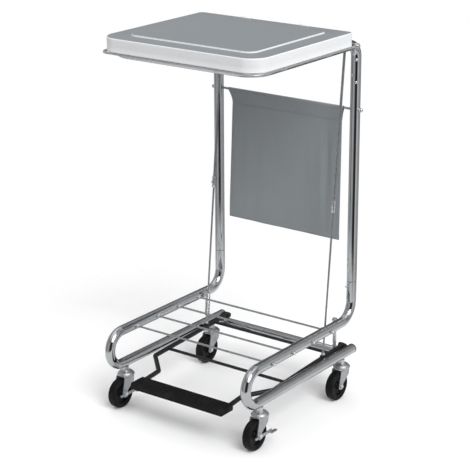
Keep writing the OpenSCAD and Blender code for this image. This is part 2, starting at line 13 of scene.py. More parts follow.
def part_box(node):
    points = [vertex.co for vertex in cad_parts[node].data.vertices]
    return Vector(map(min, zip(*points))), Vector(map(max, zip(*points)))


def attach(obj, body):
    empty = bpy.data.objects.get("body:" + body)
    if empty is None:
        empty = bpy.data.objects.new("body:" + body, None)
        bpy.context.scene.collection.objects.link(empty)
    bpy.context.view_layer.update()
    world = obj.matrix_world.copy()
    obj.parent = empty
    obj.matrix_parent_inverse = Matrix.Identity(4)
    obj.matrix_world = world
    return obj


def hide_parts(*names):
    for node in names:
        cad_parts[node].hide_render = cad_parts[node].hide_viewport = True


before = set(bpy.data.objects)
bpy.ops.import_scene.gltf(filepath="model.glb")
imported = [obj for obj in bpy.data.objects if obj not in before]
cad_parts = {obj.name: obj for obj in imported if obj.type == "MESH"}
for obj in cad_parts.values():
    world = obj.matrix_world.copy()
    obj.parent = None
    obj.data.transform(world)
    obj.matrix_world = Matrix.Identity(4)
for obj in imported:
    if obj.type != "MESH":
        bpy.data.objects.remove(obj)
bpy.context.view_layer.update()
scene = bpy.context.scene
MM = 0.001

# ---------- sizes that the part's source gives, in metres ----------

TUBE_R = 12.7 * MM
SIDE_X = 209 * MM
RAIL_Z = 115.5 * MM
SHELF_Z = 203.5 * MM
FRONT_Y = -456 * MM
RAIL_REAR_Y = 8 * MM
REAR_BEND_R = 48 * MM
JOINT_Z = 304 * MM
HOOP_Z = 914 * MM
HOOP_BEND_R = 32 * MM
HOOP_FRONT_Y = -416 * MM
HOOP_CORNER_R = 50 * MM
HINGE_Y = -28 * MM
ROD_TOP = Vector((186, -14, 916.5)) * MM
ROD_LOW = Vector((186, -93, 117.57)) * MM
COUPLER_START = 396 * MM
PEDAL_PIVOT = Vector((185, -2, 122)) * MM
PEDAL_JOG_REAR = Vector((185, -310, 107)) * MM
PEDAL_JOG_FRONT = Vector((131, -362, 96)) * MM
PEDAL_BAR_Y = -437 * MM
PEDAL_BAR_Z = 89 * MM
TRAIL = 23 * MM
AXLE_Z = 38 * MM
CASTER_FRONT_Y = -398 * MM
CASTER_REAR_Y = -40 * MM
CASTERS = {
    "fl": (-SIDE_X, CASTER_FRONT_Y),
    "fr": (SIDE_X, CASTER_FRONT_Y),
    "rl": (-SIDE_X, CASTER_REAR_Y),
    "rr": (SIDE_X, CASTER_REAR_Y),
}


# ---------- camera ----------


def make_camera():
    """A long lens from the front right, looking down a little."""
    pitch = 18.45
    heading = 35.83
    camera = bpy.data.cameras.new("camera")
    camera.sensor_width = 36
    camera.lens = 120
    camera.shift_x = -0.043
    camera.clip_end = 60
    obj = bpy.data.objects.new("camera", camera)
    obj.location = (2.197, -3.171, 1.672)
    obj.rotation_euler = Euler((math.radians(90 - pitch), 0, math.radians(heading)))
    scene.collection.objects.link(obj)
    scene.camera = obj


# ---------- materials ----------


class Look:
    """A material with its nodes, and short ways to add textures to it."""

    def __init__(self, name, color, roughness, metallic=0.0):
        self.material = bpy.data.materials.new(name)
        self.material.use_nodes = True
        self.tree = self.material.node_tree
        self.shader = self.tree.nodes["Principled BSDF"]
        self.set("Base Color", (*color, 1))
        self.set("Roughness", roughness)
        self.set("Metallic", metallic)
        self.color = color
        self.height = None
        self.place = self.tree.nodes.new("ShaderNodeTexCoord").outputs["Object"]

    def set(self, socket, value):
        self.shader.inputs[socket].default_value = value

    def link(self, a, b):
        self.tree.links.new(a, b)

    def scaled(self, scale):
        """Object coordinates, scaled per axis."""
        node = self.tree.nodes.new("ShaderNodeMapping")
        node.inputs["Scale"].default_value = scale
        self.link(self.place, node.inputs["Vector"])
        return node.outputs["Vector"]

    def noise(self, scale, detail=3, rough=0.5, stretch=(1, 1, 1)):
        node = self.tree.nodes.new("ShaderNodeTexNoise")
        node.inputs["Scale"].default_value = scale
        node.inputs["Detail"].default_value = detail
        node.inputs["Roughness"].default_value = rough
        self.link(self.scaled(stretch), node.inputs["Vector"])
        return node.outputs["Fac"]

    def wave(self, scale, direction):
        """Even ridges across one axis: scale is ridges a metre, over two pi."""
        node = self.tree.nodes.new("ShaderNodeTexWave")
        node.bands_direction = direction
        node.wave_profile = "SIN"
        node.inputs["Scale"].default_value = scale
        self.link(self.place, node.inputs["Vector"])
        return node.outputs["Fac"]

    def cells(self, scale):
        node = self.tree.nodes.new("ShaderNodeTexVoronoi")
        node.inputs["Scale"].default_value = scale
        self.link(self.place, node.inputs["Vector"])
        return node.outputs["Distance"]

    def ramp(self, source, low, high, at=(0.0, 1.0)):
        """Source between two positions, turned into values between low and high."""
        node = self.tree.nodes.new("ShaderNodeMapRange")
        node.inputs["From Min"].default_value = at[0]
        node.inputs["From Max"].default_value = at[1]
        node.inputs["To Min"].default_value = low
        node.inputs["To Max"].default_value = high
        self.link(source, node.inputs["Value"])
        return node.outputs["Result"]

    def math(self, kind, a, b):
        node = self.tree.nodes.new("ShaderNodeMath")
        node.operation = kind
        for value, socket in ((a, node.inputs[0]), (b, node.inputs[1])):
            if isinstance(value, (int, float)):
                socket.default_value = value
            else:
                self.link(value, socket)
        return node.outputs[0]

    def tint(self, factor, other):
        """Mixes another colour in by a factor, over what is there."""
        node = self.tree.nodes.new("ShaderNodeMix")
        node.data_type = "RGBA"
        base = self.shader.inputs["Base Color"]
        if base.is_linked:
            self.link(base.links[0].from_socket, node.inputs["A"])
        else:
            node.inputs["A"].default_value = (*self.color, 1)
        node.inputs["B"].default_value = (*other, 1)
        self.link(factor, node.inputs["Factor"])
        self.link(node.outputs["Result"], base)

    def rough(self, source):
        self.link(source, self.shader.inputs["Roughness"])

    def edges(self, low=0.52, high=0.6):
        """1 on convex edges, 0 on flats and in corners."""
        pointiness = self.tree.nodes.new("ShaderNodeNewGeometry").outputs["Pointiness"]
        return self.ramp(pointiness, 0.0, 1.0, (low, high))

    def bump(self, height, strength, distance):
        """Adds a bump on top of those before it. Distance is in metres."""
        node = self.tree.nodes.new("ShaderNodeBump")
        node.inputs["Strength"].default_value = strength
        node.inputs["Distance"].default_value = distance
        self.link(height, node.inputs["Height"])
        if self.height is not None:
            self.link(self.height, node.inputs["Normal"])
        self.height = node.outputs["Normal"]
        self.link(self.height, self.shader.inputs["Normal"])


def chrome_look():
    look = Look("chrome", (0.42, 0.432, 0.44), 0.05, metallic=1.0)
    smudge = look.noise(9, 4, 0.6)
    look.rough(look.ramp(smudge, 0.03, 0.12, (0.35, 0.75)))
    look.tint(look.ramp(look.noise(40, 3), 0.0, 0.3, (0.45, 0.75)), (0.30, 0.31, 0.32))
    look.bump(look.noise(30, 2), 0.12, 0.2 * MM)
    look.bump(look.noise(700, 2, stretch=(1, 1, 0.08)), 0.05, 0.05 * MM)
    return look.material


def wire_look(name, stretch):
    """Bright drawn wire, with faint streaks along it."""
    look = Look(name, (0.36, 0.37, 0.375), 0.3, metallic=1.0)
    streak = look.noise(900, 2, stretch=stretch)
    look.rough(look.ramp(streak, 0.22, 0.4, (0.3, 0.7)))
    look.tint(look.ramp(look.noise(35, 4), 0.0, 0.5, (0.45, 0.75)), (0.22, 0.23, 0.235))
    look.bump(streak, 0.15, 0.05 * MM)
    return look.material


def zinc_look(name, color, roughness):
    """Plated steel, with a faint spangle and duller hollows."""
    look = Look(name, color, roughness, metallic=1.0)
    spangle = look.cells(220)
    look.rough(look.ramp(spangle, roughness - 0.06, roughness + 0.12, (0.1, 0.7)))
    dull = tuple(0.55 * c for c in color)
    look.tint(look.ramp(look.noise(60, 5, 0.6), 0.0, 0.55, (0.45, 0.8)), dull)
    look.tint(look.edges(), tuple(min(1.0, 1.15 * c) for c in color))
    look.bump(look.noise(420, 3), 0.12, 0.08 * MM)
    return look.material


def powder_look():
    """Black powder coat, worn to grey on its edges."""
    look = Look("black_powder", (0.008, 0.008, 0.0085), 0.42)
    look.set("Specular IOR Level", 0.3)
    look.rough(look.ramp(look.noise(25, 4), 0.34, 0.52, (0.3, 0.7)))
    worn = look.math("MULTIPLY", look.edges(0.56, 0.66), look.ramp(look.noise(120, 4), 0, 1, (0.5, 0.62)))
    look.tint(worn, (0.09, 0.09, 0.093))
    look.bump(look.noise(1100, 2), 0.25, 0.06 * MM)
    return look.material


def rubber_look(name, shade, roughness, grain, dust):
    look = Look(name, (shade, shade, shade * 1.03), roughness)
    look.set("Specular IOR Level", 0.12)
    look.rough(look.ramp(look.noise(45, 4), roughness - 0.1, roughness + 0.12, (0.3, 0.7)))
    look.tint(look.ramp(look.noise(28, 5, 0.65), 0.0, dust, (0.48, 0.75)), (0.05, 0.05, 0.049))
    look.bump(look.noise(grain, 3), 0.35, 0.1 * MM)
    return look.material


def plastic_look(name, color, roughness, grain_scale, grain_depth, specular=0.5):
    """Moulded plastic: a fine mould grain, and faint marks from handling."""
    look = Look(name, color, roughness)
    look.set("IOR", 1.47)
    look.set("Specular IOR Level", specular)
    look.rough(look.ramp(look.noise(12, 5, 0.6), roughness - 0.06, roughness + 0.1, (0.35, 0.7)))
    soiled = tuple(0.86 * c for c in color)
    look.tint(look.ramp(look.noise(7, 6, 0.65), 0.0, 0.3, (0.5, 0.8)), soiled)
    look.bump(look.noise(grain_scale, 2), 0.3, grain_depth)
    return look.material


def painted_shade_top_look():
    """The lid's top: the white moulding painted grey there as painted shade, for a top that takes less light
    than its sides, with a fine leather-like grain.
    """
    look = Look("lid_top_painted_shade", (0.225, 0.243, 0.256), 0.5)
    look.set("IOR", 1.47)
    grain = look.cells(520)
    look.rough(look.ramp(grain, 0.42, 0.6, (0.1, 0.8)))
    look.tint(look.ramp(look.noise(5, 5, 0.6), 0.0, 0.35, (0.4, 0.75)), (0.205, 0.221, 0.233))
    look.tint(look.ramp(look.noise(380, 2), 0.0, 0.18, (0.5, 0.7)), (0.30, 0.315, 0.325))
    look.bump(grain, 0.35, 0.12 * MM)
    return look.material


def cloth_look():
    """Plain woven polyester, with slight yarn to yarn changes."""
    look = Look("panel_weave", (0.275, 0.298, 0.31), 0.85)
    look.set("Sheen Weight", 0.25)
    look.set("Sheen Roughness", 0.4)
    yarns = 340
    warp = look.wave(yarns, "X")
    weft = look.wave(yarns, "Z")
    weave = look.math("MAXIMUM", warp, weft)
    look.tint(look.ramp(weave, 0.45, 0.0, (0.1, 0.9)), (0.15, 0.164, 0.17))
    pale_yarns = look.ramp(look.noise(700, 2, stretch=(1, 1, 0.02)), 0.0, 0.18, (0.45, 0.7))
    look.tint(pale_yarns, (0.34, 0.362, 0.372))
    look.tint(look.ramp(look.noise(6, 4), 0.0, 0.35, (0.4, 0.7)), (0.235, 0.255, 0.265))
    look.bump(weave, 0.5, 0.12 * MM)
    return look.material


def thread_look():
    look = Look("thread", (0.3, 0.32, 0.33), 0.7)
    look.set("Sheen Weight", 0.2)
    look.tint(look.ramp(look.noise(900, 2), 0.0, 0.5, (0.4, 0.6)), (0.18, 0.19, 0.2))
    look.bump(look.noise(2500, 2), 0.4, 0.05 * MM)
    return look.material


CHROME = chrome_look()
WIRE_X = wire_look("wire_across", (0.04, 1, 1))
WIRE_Z = wire_look("wire_upright", (1, 1, 0.04))
WIRE_SATIN = zinc_look("wire_satin", (0.52, 0.53, 0.54), 0.48)
ZINC = zinc_look("bright_zinc", (0.55, 0.56, 0.57), 0.22)
PRESSING = zinc_look("pressed_zinc", (0.40, 0.41, 0.42), 0.42)
DAMPER = zinc_look("damper_steel", (0.42, 0.43, 0.44), 0.24)
POWDER = powder_look()
PAD_RUBBER = rubber_look("pad_rubber", 0.006, 0.6, 1500, 0.25)
TYRE = rubber_look("tyre_rubber", 0.004, 0.55, 900, 0.2)
HUB = plastic_look("wheel_plastic", (0.005, 0.005, 0.0053), 0.42, 700, 0.06 * MM, 0.15)
PLUG = plastic_look("black_plastic", (0.012, 0.012, 0.0125), 0.4, 700, 0.06 * MM, 0.3)
LID_WHITE = plastic_look("lid_plastic", (0.80, 0.81, 0.82), 0.3, 420, 0.05 * MM)
# The lid top's grey is painted shade: the same white plastic, darker only because its top takes less light.
LID_TOP_SHADE = painted_shade_top_look()
CLIP = plastic_look("clip_plastic", (0.78, 0.78, 0.77), 0.4, 600, 0.05 * MM)
CLOTH = cloth_look()
THREAD = thread_look()


# ---------- mesh building ----------


class Shape:
    """Points and faces of one piece, built from rings of points."""

    def __init__(self):
        self.points = []
        self.faces = []
        self.kinds = []

    def ring(self, points):
        start = len(self.points)
        self.points.extend(Vector(p) for p in points)
        return list(range(start, len(self.points)))

    def face(self, corners, kind=0):
        self.faces.append(tuple(corners))
        self.kinds.append(kind)

    def bridge(self, a, b, kind=0, closed=True):
        """Quads between two rings with the same number of points."""
        n = len(a)
        for i in range(n if closed else n - 1):
            j = (i + 1) % n
            self.face((a[i], a[j], b[j], b[i]), kind)

    def stack(self, rings, kind=0, closed=True):
        for a, b in zip(rings, rings[1:]):
            self.bridge(a, b, kind, closed)

    def piece(self, name, materials, body, nodes=(), slot=None, smooth=40):
        """Makes the object, lets it ride on its body and stand for its CAD nodes."""
        mesh = bpy.data.meshes.new(name)
        mesh.from_pydata([tuple(p) for p in self.points], [], self.faces)
        for material in materials:
            mesh.materials.append(material)
        mesh.polygons.foreach_set("material_index", self.kinds)
        tidy = bmesh.new()
        tidy.from_mesh(mesh)
        bmesh.ops.recalc_face_normals(tidy, faces=tidy.faces)
        tidy.to_mesh(mesh)
        tidy.free()
        mesh.shade_smooth()
        mesh.set_sharp_from_angle(angle=math.radians(smooth))
        return placed(bpy.data.objects.new(name, mesh), body, nodes)


def placed(obj, body, nodes=()):
    scene.collection.objects.link(obj)
    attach(obj, body)
    if nodes:
        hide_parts(*nodes)
    return obj


def circle(centre, u, v, radius, sides):
    """Points round a centre, in the plane of two unit vectors."""
    points = []
    for i in range(sides):
        angle = 2 * math.pi / sides * i
        points.append(centre + radius * (math.cos(angle) * u + math.sin(angle) * v))
    return points


def across(direction):
    """Two unit vectors across a direction."""
    guide = Vector((1, 0, 0)) if abs(direction.x) < 0.9 else Vector((0, 1, 0))
    u = direction.cross(guide).normalized()
    return u, direction.cross(u).normalized()


def route(corners, radii, step=0.12):
    """A line through corner points, with each inner corner rounded.

    Step is the turn between points, in radians."""
    points = [corners[0]]
    for before, corner, after, radius in zip(corners, corners[1:], corners[2:], radii):
        a = (before - corner).normalized()
        b = (after - corner).normalized()
        half = a.angle(b) / 2
        middle = (a + b).normalized()
        centre = corner + middle * radius / math.sin(half)
        start = corner + a * radius / math.tan(half)
        turn = math.pi - 2 * half
        out = (start - centre).normalized()
        axis = out.cross(-a).normalized()
        count = max(2, math.ceil(turn / step))
        for i in range(count + 1):
            points.append(centre + radius * (Matrix.Rotation(turn * i / count, 3, axis) @ out))
    points.append(corners[-1])
    return points


def sweep(shape, points, radius, sides=28, chamfer=0.4 * MM, kind=0):
    """A round bar along a line of points, with chamfered ends.

    Radius is one number, or one for each point."""
    radii = radius if hasattr(radius, "__len__") else [radius] * len(points)
    tangent = (points[1] - points[0]).normalized()
    u, v = across(tangent)
    rings = []
    for i, point in enumerate(points):
        before = points[max(i - 1, 0)]
        after = points[min(i + 1, len(points) - 1)]
        new = (after - before).normalized()
        turn = tangent.rotation_difference(new)
        u = (turn @ u).normalized()
        v = (turn @ v).normalized()
        tangent = new
        if i == 0:
            rings.append(shape.ring(circle(point, u, v, radii[0] - chamfer, sides)))
            point = point + tangent * chamfer
        last = i == len(points) - 1
        if last:
            point = point - tangent * chamfer
        rings.append(shape.ring(circle(point, u, v, radii[i], sides)))
        if last:
            rings.append(shape.ring(circle(points[-1], u, v, radii[-1] - chamfer, sides)))
    shape.stack(rings, kind)
    shape.face(reversed(rings[0]), kind)
    shape.face(rings[-1], kind)


def lathe(shape, origin, axis, profile, sides=48, kind=0, closed=False):
    """Turns a profile of (along, radius) pairs about an axis. A closed profile goes round to its start."""
    u, v = across(axis)
    rings = []
    for along, radius in profile:
        rings.append(shape.ring(circle(origin + along * axis, u, v, max(radius, 1e-6), sides)))
    shape.stack(rings, kind)
    if closed:
        shape.bridge(rings[-1], rings[0], kind)
    else:
        shape.face(reversed(rings[0]), kind)
        shape.face(rings[-1], kind)


def outline(half_w, half_d, front_r, rear_r, stop, per_corner=16):
    """A rectangle with round corners round the origin, as (x, y) pairs from the +X side, anticlockwise.

    Its rear side has two more points, at plus and minus stop."""
    pairs = []
    corners = ((1, 1, rear_r), (-1, 1, rear_r), (-1, -1, front_r), (1, -1, front_r))
    for quarter, (sx, sy, radius) in enumerate(corners):
        cx = sx * (half_w - radius)
        cy = sy * (half_d - radius)
        for i in range(per_corner + 1):
            angle = math.pi / 2 * (quarter + i / per_corner)
            pairs.append((cx + radius * math.cos(angle), cy + radius * math.sin(angle)))
        if quarter == 0:
            pairs += [(stop, half_d), (-stop, half_d)]
    return pairs


def apply_modifiers(obj):
    """Replaces the object's mesh with its evaluated one."""
    graph = bpy.context.evaluated_depsgraph_get()
    mesh = bpy.data.meshes.new_from_object(obj.evaluated_get(graph))
    obj.modifiers.clear()
    old = obj.data
    obj.data = mesh
    bpy.data.meshes.remove(old)


def refined(node, body, material, bevel=0.35 * MM, angle=32):
    """A CAD node's own shape with its edges broken by a small bevel. It stands for the node."""
    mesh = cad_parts[node].data.copy()
    mesh.materials.clear()
    mesh.materials.append(material)
    work = bmesh.new()
    work.from_mesh(mesh)
    bmesh.ops.remove_doubles(work, verts=work.verts, dist=1e-6)
    bmesh.ops.dissolve_limit(work, angle_limit=math.radians(0.6), verts=work.verts, edges=work.edges)
    work.to_mesh(mesh)
    work.free()
    obj = placed(bpy.data.objects.new(node + "_finish", mesh), body, [node])
    mod = obj.modifiers.new("bevel", "BEVEL")
    mod.width = bevel
    mod.segments = 2
    mod.limit_method = "ANGLE"
    mod.angle_limit = math.radians(angle)
    mod.use_clamp_overlap = True
    apply_modifiers(obj)
    obj.data.shade_smooth()
    obj.data.set_sharp_from_angle(angle=math.radians(38))
    return obj


# ---------- frame ----------


def side_point(side, y, z):
    return Vector((side * SIDE_X, y, z))


def lower_frame(side, node):
    """Socket, rear bend, shelf rail, front bend and bottom rail: one bent tube."""
    corners = [
        side_point(side, 0, JOINT_Z),
        side_point(side, 0, SHELF_Z),
        side_point(side, FRONT_Y, SHELF_Z),
        side_point(side, FRONT_Y, RAIL_Z),
        side_point(side, RAIL_REAR_Y, RAIL_Z),
    ]
    front_bend_r = (SHELF_Z - RAIL_Z) / 2 - 1e-6
    shape = Shape()
    sweep(shape, route(corners, [REAR_BEND_R, front_bend_r, front_bend_r], 0.07), TUBE_R, 48, 1.1 * MM)
    shape.piece(node + "_tube", [CHROME], "frame", [node], "chrome_tube")


def upper_frame():
    """Both uprights and the top hoop: one bent tube."""
    corners = [
        side_point(-1, 0, JOINT_Z),
        side_point(-1, 0, HOOP_Z),
        side_point(-1, HOOP_FRONT_Y, HOOP_Z),
        side_point(1, HOOP_FRONT_Y, HOOP_Z),
        side_point(1, 0, HOOP_Z),
        side_point(1, 0, JOINT_Z),
    ]
    shape = Shape()
    bends = [HOOP_BEND_R, HOOP_CORNER_R, HOOP_CORNER_R, HOOP_BEND_R]
    sweep(shape, route(corners, bends, 0.07), TUBE_R, 48, 1.1 * MM)
    shape.piece("upper_frame_tube", [CHROME], "frame", ["upper_frame"], "chrome_tube")


def cross_bar(node, body, sides=24):
    """A straight bar along X, from the node's own box, with chamfered ends."""
    low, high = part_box(node)
    middle = (low + high) / 2
    ends = [Vector((low.x, middle.y, middle.z)), Vector((high.x, middle.y, middle.z))]
    shape = Shape()
    sweep(shape, ends, (high.z - low.z) / 2, sides, 0.6 * MM)
    shape.piece(node + "_bar", [WIRE_X], body, [node], "bright_wire")


def ring_of_wire(shape, centre, u, v, ring_r, wire_r, around=40, sides=16):
    """A closed ring of round wire in the plane of two unit vectors."""
    rings = []
    normal = u.cross(v)
    for i in range(around):
        angle = 2 * math.pi * i / around
        out = math.cos(angle) * u + math.sin(angle) * v
        rings.append(shape.ring(circle(centre + ring_r * out, out, normal, wire_r, sides)))
    shape.stack(rings)
    shape.bridge(rings[-1], rings[0])


# ---------- cloth panel ----------

PANEL_W = 352 * MM
PANEL_ROD = Vector((0, 0, 750)) * MM
PANEL_BOTTOM = 405.5 * MM
SLEEVE_R = 3.9 * MM
SLEEVE_SEAM = 34 * MM
COLUMNS = 88


def panel_profile():
    """The sheet's section from the seam at the back, over the rod and down the front.

    Each entry is (y, z, how freely that row swings)."""
    rows = []
    seam_z = PANEL_ROD.z - SLEEVE_SEAM
    for i in range(6):
        t = i / 6
        rows.append((0.55 * MM + t * (SLEEVE_R - 0.55 * MM), seam_z + t * SLEEVE_SEAM, 0.0))
    for i in range(13):
        angle = math.pi * i / 12
        rows.append((SLEEVE_R * math.cos(angle), PANEL_ROD.z + SLEEVE_R * math.sin(angle), 0.0))
    for i in range(1, 7):
        t = 1 - i / 6
        rows.append((-0.35 * MM - t * (SLEEVE_R - 0.35 * MM), seam_z + t * SLEEVE_SEAM, 0.0))
    count = 62
    for i in range(1, count + 1):
        t = i / count
        rows.append((-0.35 * MM, seam_z + t * (PANEL_BOTTOM - seam_z), t))
    return rows


def panel_fold(u, free):
    """How far a point stands proud: shallow hanging folds, deeper towards the right-hand edge."""
    shallow = 1.2 * math.sin(2 * math.pi * (1.7 * u + 0.1)) + 0.5 * math.sin(2 * math.pi * (4.3 * u + 0.35))
    valley = 5.0 * math.exp(-(((u - 0.875) / 0.035) ** 2)) + 1.5 * math.exp(-(((u - 0.1) / 0.05) ** 2))
    return (shallow + valley) * MM * min(1.0, free * 3.5) * (1 - 0.85 * free ** 2)


def panel_mesh():
    """The sheet before it settles: held to the rod, drawn in a little under the sleeve."""
    shape = Shape()
    rings = []
    for y, z, free in panel_profile():
        below = max(0.0, PANEL_ROD.z - z) / (PANEL_ROD.z - PANEL_BOTTOM)
        draw = 13 * MM * math.sin(min(1.0, below / 0.1) * math.pi / 2) * (1 - below)
        points = []
        for c in range(COLUMNS + 1):
            u = c / COLUMNS
            x = (u - 0.5) * PANEL_W
            x += draw * (1 - u) ** 4 - (0.3 * draw + 7 * MM * below) * u ** 4
            points.append(Vector((x, y + panel_fold(u, free), z)))
        rings.append(shape.ring(points))
    shape.stack(rings, closed=False)
    return shape, rings


def hang(obj, held_rows, frames=16):
    """Lets the sheet settle under its own weight, with its sleeve held."""
    held = obj.vertex_groups.new(name="held")
    held.add(held_rows, 1.0, "REPLACE")
    cloth = obj.modifiers.new("cloth", "CLOTH")
    settings = cloth.settings
    settings.quality = 6
    settings.mass = 0.12
    settings.tension_stiffness = 60
    settings.compression_stiffness = 80
    settings.shear_stiffness = 60
    settings.bending_stiffness = 6
    settings.vertex_group_mass = "held"
    cloth.collision_settings.use_collision = False
    cloth.point_cache.frame_start = 1
    cloth.point_cache.frame_end = frames
    for number in range(1, frames + 1):
        scene.frame_set(number)
    apply_modifiers(obj)
    scene.frame_set(1)
    obj.vertex_groups.clear()


def stitch_row(shape, path, pitch=3.2 * MM, thread=0.22 * MM):
    """Short raised stitches along a line of surface points."""
    lengths = [0.0]
    for a, b in zip(path, path[1:]):
        lengths.append(lengths[-1] + (b - a).length)

    def at(distance):
        for i in range(len(path) - 1):
            if distance <= lengths[i + 1]:
                share = (distance - lengths[i]) / (lengths[i + 1] - lengths[i])
                return path[i].lerp(path[i + 1], share)
        return path[-1]

    for i in range(int(lengths[-1] / pitch)):
        start = at(i * pitch + 0.4 * MM)
        end = at(i * pitch + 0.78 * pitch)
        sweep(shape, [start, end], thread, 6, 0.12 * MM)


def turn_up_hem(sheet, rings):
    """Folds the bottom edge up behind the settled sheet."""
    mesh = bmesh.new()
    mesh.from_mesh(sheet.data)
    settled = list(mesh.verts)
    behind = Vector((0, 0.85, 0)) * MM
    below = Vector((0, 0.42, -0.35)) * MM
    previous = [settled[i] for i in rings[-1]]
    turned_rings = [rings[-1], rings[-1], rings[-2], rings[-3], rings[-4]]
    shifts = [below, behind, behind, behind, behind]
    for ring, shift in zip(turned_rings, shifts):
        row = [mesh.verts.new(settled[i].co + shift) for i in ring]
        for a, b, c, d in zip(previous, previous[1:], row[1:], row):
            mesh.faces.new((a, b, c, d))
        previous = row
    bmesh.ops.recalc_face_normals(mesh, faces=mesh.faces)
    mesh.to_mesh(sheet.data)
    mesh.free()


def fabric_panel():
    shape, rings = panel_mesh()
    sheet = shape.piece("panel_cloth", [CLOTH], "frame", ["fabric_panel"], "panel_cloth", 180)
    held_count = 25
    hang(sheet, [i for ring in rings[:held_count] for i in ring])
    turn_up_hem(sheet, rings)
    spots = [v.co.copy() for v in sheet.data.vertices]
    front_rows = rings[held_count - 1 :]
    proud = Vector((0, -0.42, 0)) * MM
    down = Vector((0, 0, -2.5)) * MM
    stitches = Shape()
    seam = [spots[i] + proud for i in front_rows[0][1:-1]]
    stitch_row(stitches, seam)
    stitch_row(stitches, [p + down for p in seam])
    stitch_row(stitches, [spots[i] + proud for i in rings[-4][1:-1]])
    for column in (2, COLUMNS - 2):
        stitch_row(stitches, [spots[row[column]] + proud for row in front_rows])
    stitches.piece("panel_stitching", [THREAD], "frame", slot="panel_cloth", smooth=60)
    thick = sheet.modifiers.new("thick", "SOLIDIFY")
    thick.thickness = 0.5 * MM
    thick.offset = 0
    apply_modifiers(sheet)
    sheet.data.shade_smooth()


# ---------- lid ----------

LID_HALF_W = 230 * MM
LID_HALF_D = 198 * MM
LID_CENTRE_Y = -242 * MM
LID_LOW_Z = 917 * MM
LID_TOP_Z = 951 * MM
LID_CORNER_R = 48 * MM
LID_REAR_R = 14 * MM
LID_WALL = 3 * MM
RAISED_HALF_W = 181 * MM
RAISED_HALF_D = 149 * MM
RAISED_TOP_Z = 954 * MM
RAISED_CORNER_R = 26 * MM
RAISED_REAR_R = 10 * MM
NOTCH_TOP_Z = 932 * MM
NOTCH_INNER_X = 193.8 * MM
NOTCH_OUTER_X = 224.2 * MM
NOTCH_FRONT_Y = -74 * MM
# Colour indices: the lid's own white plastic, and grey painted shade on its top faces.
WHITE, TOP_SHADE_GREY = 0, 1


def lid_rows():
    """The lid's outer surface from its lower edge to its flat top: (inset, z, colour above). The grey is
    painted shade on the white moulding's top.
    """
    rows = [(0.6 * MM, LID_LOW_Z, WHITE)]
    rows.append((0.0, LID_LOW_Z + 0.8 * MM, WHITE))
    rows.append((0.0, LID_LOW_Z + 2.6 * MM, WHITE))
    rows.append((0.3 * MM, LID_LOW_Z + 3.1 * MM, WHITE))
    rows.append((0.3 * MM, NOTCH_TOP_Z, WHITE))
    edge_r = 3.6 * MM
    for i in range(9):
        angle = math.pi / 2 * i / 8
        inset = 0.3 * MM + edge_r * (1 - math.cos(angle))
        # The upper part of the rounded edge and the flat top get the painted shade grey.
        above = TOP_SHADE_GREY if i >= 5 else WHITE
        rows.append((inset, LID_TOP_Z - edge_r * (1 - math.sin(angle)), above))
    return rows


def raised_rows():
    """The white step up to the raised panel, with a fillet at its foot and a rounded top: as lid_rows. The
    panel's top takes the painted shade grey.
    """
    soft = 0.8 * MM
    rows = []
    for i in range(5):
        angle = math.pi / 8 * i
        rows.append((-2 * soft + soft * math.sin(angle), LID_TOP_Z + soft * (1 - math.cos(angle)), WHITE))
    for i in range(5):
        angle = math.pi / 8 * i
        rows.append((-soft * math.cos(angle), RAISED_TOP_Z - soft * (1 - math.sin(angle)), WHITE))
    rows[-1] = (*rows[-1][:2], TOP_SHADE_GREY)
    rows.append((2 * MM, RAISED_TOP_Z, TOP_SHADE_GREY))
    rows.append((8 * MM, RAISED_TOP_Z, TOP_SHADE_GREY))
    return rows


def lid_ring(shape, half_w, half_d, front_r, rear_r, z):
    stop = min(NOTCH_INNER_X, half_w - rear_r - 1 * MM)
    pairs = outline(half_w, half_d, front_r, rear_r, stop)
    return shape.ring([Vector((x, y + LID_CENTRE_Y, z)) for x, y in pairs])


def in_notch(shape, face):
    """True where the skirt is cut away for the top hoop's arms."""
    middle = sum((shape.points[i] for i in face), Vector()) / len(face)
    over_arm = NOTCH_INNER_X < abs(middle.x) < NOTCH_OUTER_X
    return over_arm and middle.y > NOTCH_FRONT_Y and middle.z < NOTCH_TOP_Z


def lid_shell():
    shape = Shape()
    previous = None
    for inset, z, above in lid_rows():
        sizes = LID_HALF_W - inset, LID_HALF_D - inset, LID_CORNER_R - inset, LID_REAR_R - inset
        ring = lid_ring(shape, *sizes, z)
        if previous is not None:
            shape.bridge(previous, ring, kind)
        previous, kind = ring, above
    for inset, z, above in raised_rows():
        sizes = RAISED_HALF_W - inset, RAISED_HALF_D - inset, RAISED_CORNER_R - inset, RAISED_REAR_R - inset
        ring = lid_ring(shape, *sizes, z)
        shape.bridge(previous, ring, kind)
        previous, kind = ring, above
    shape.face(previous, TOP_SHADE_GREY)
    kept = [(f, k) for f, k in zip(shape.faces, shape.kinds) if not in_notch(shape, f)]
    shape.faces = [f for f, k in kept]
    shape.kinds = [k for f, k in kept]
    # White outside, painted shade grey on the top faces, white inside.
    materials = [LID_WHITE, LID_TOP_SHADE, LID_WHITE]
    inside = 2
    lid = shape.piece("lid_moulding", materials, "lid", ["lid_shell"], "lid_plastic", 40)
    wall = lid.modifiers.new("wall", "SOLIDIFY")
    wall.thickness = LID_WALL - 0.3 * MM
    wall.offset = -1
    wall.use_even_offset = True
    wall.material_offset = inside
    apply_modifiers(lid)
    lid.data.shade_smooth()
    lid.data.set_sharp_from_angle(angle=math.radians(40))
    for side, name in ((-1, "left"), (1, "right")):
        lid_bump(side, name)


